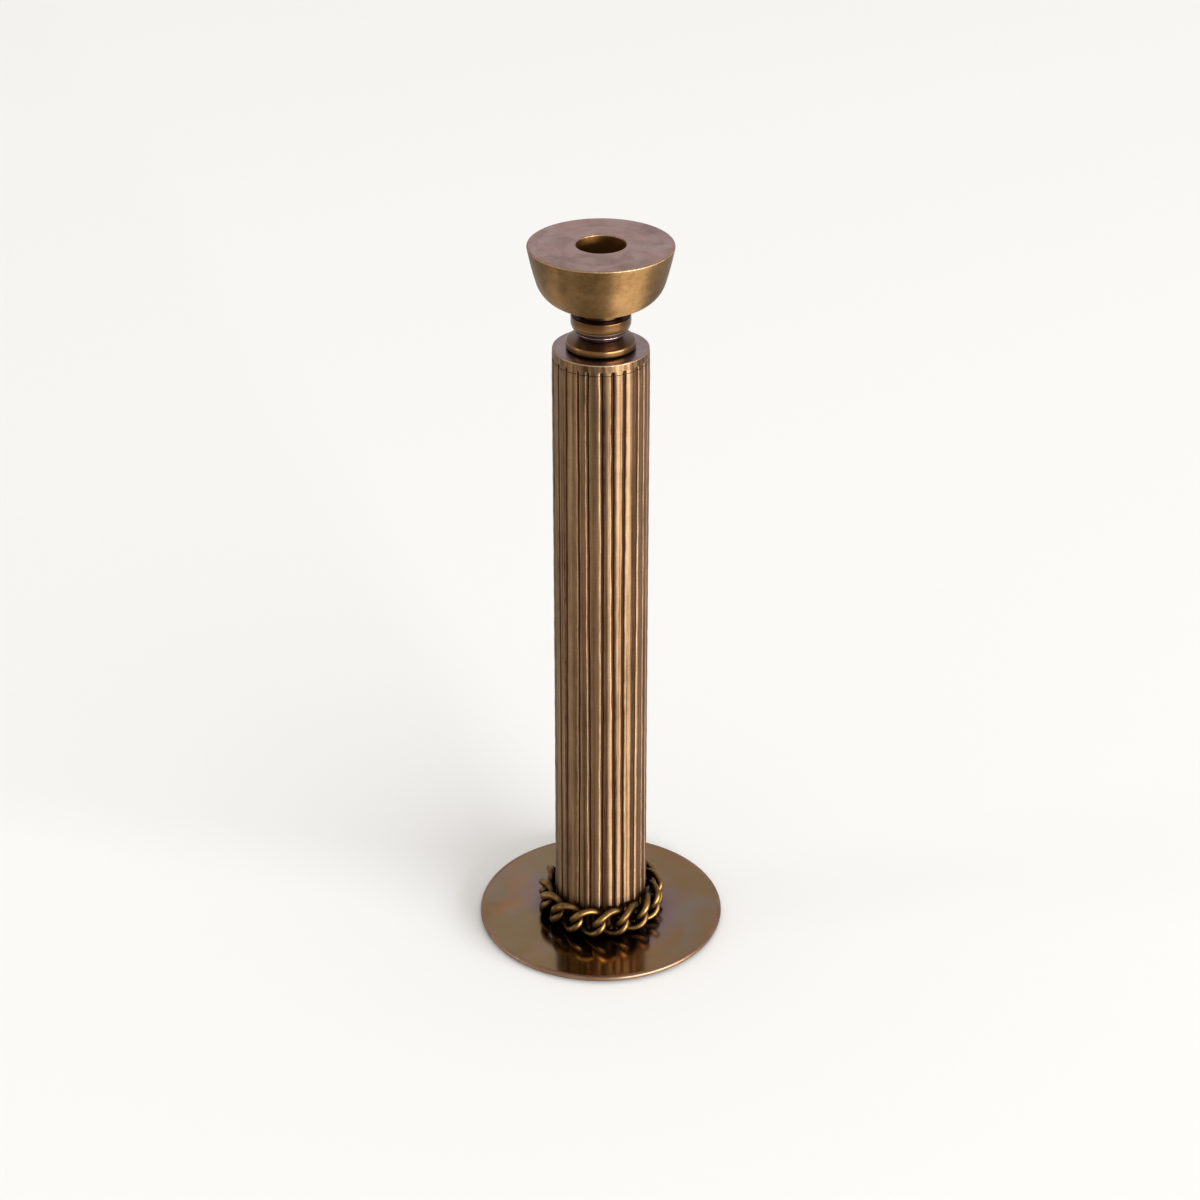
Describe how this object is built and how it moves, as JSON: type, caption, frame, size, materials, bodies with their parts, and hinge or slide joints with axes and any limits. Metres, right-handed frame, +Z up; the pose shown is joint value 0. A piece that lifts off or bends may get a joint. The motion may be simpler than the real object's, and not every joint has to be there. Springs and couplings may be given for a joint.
{
  "type": "taper candlestick",
  "caption": "Tall antique-brass candlestick: round plate foot, fluted column with a loose ring of curb chain, turned neck and bowl-shaped cup bored for a dinner candle.",
  "frame": {"origin": "on the candlestick's axis, at the underside of the felt pad", "axes": "+Z up along the column's axis, -Y to the front"},
  "size_m": [0.12, 0.12, 0.3537],
  "materials": {
    "felt": "dense black felt",
    "plate": "mirror-polished, heat-tinted patina",
    "steel": "plain zinc-plated steel",
    "column": "antique-brass plating, chased, dark in the flutes",
    "neck": "polished antique brass",
    "cup": "satin antique-brass plating",
    "chain": "darkened brass wire with rubbed highlights"
  },
  "bodies": {
    "stand": {"felt_pad": "felt", "base_plate": "plate", "base_screw": "steel", "foot_plug": "steel", "rod_locknut": "steel", "tie_rod": "steel", "column_sleeve": "column", "column_cap": "column", "cap_washer": "steel", "cap_nut": "steel", "neck_ring": "neck", "neck_knop": "neck", "candle_cup": "cup"},
    "chain": {"chain_link_01": "chain", "chain_link_02": "chain", "chain_link_03": "chain", "chain_link_04": "chain", "chain_link_05": "chain", "chain_link_06": "chain", "chain_link_07": "chain", "chain_link_08": "chain", "chain_link_09": "chain", "chain_link_10": "chain", "chain_link_11": "chain", "chain_link_12": "chain", "chain_link_13": "chain", "chain_link_14": "chain", "chain_link_15": "chain"}
  },
  "joints": [
    {"name": "chain_lift", "type": "slide", "parent": "stand", "child": "chain", "axis": [0, 0, 1], "range_m": [0, 0.3115]}
  ]
}
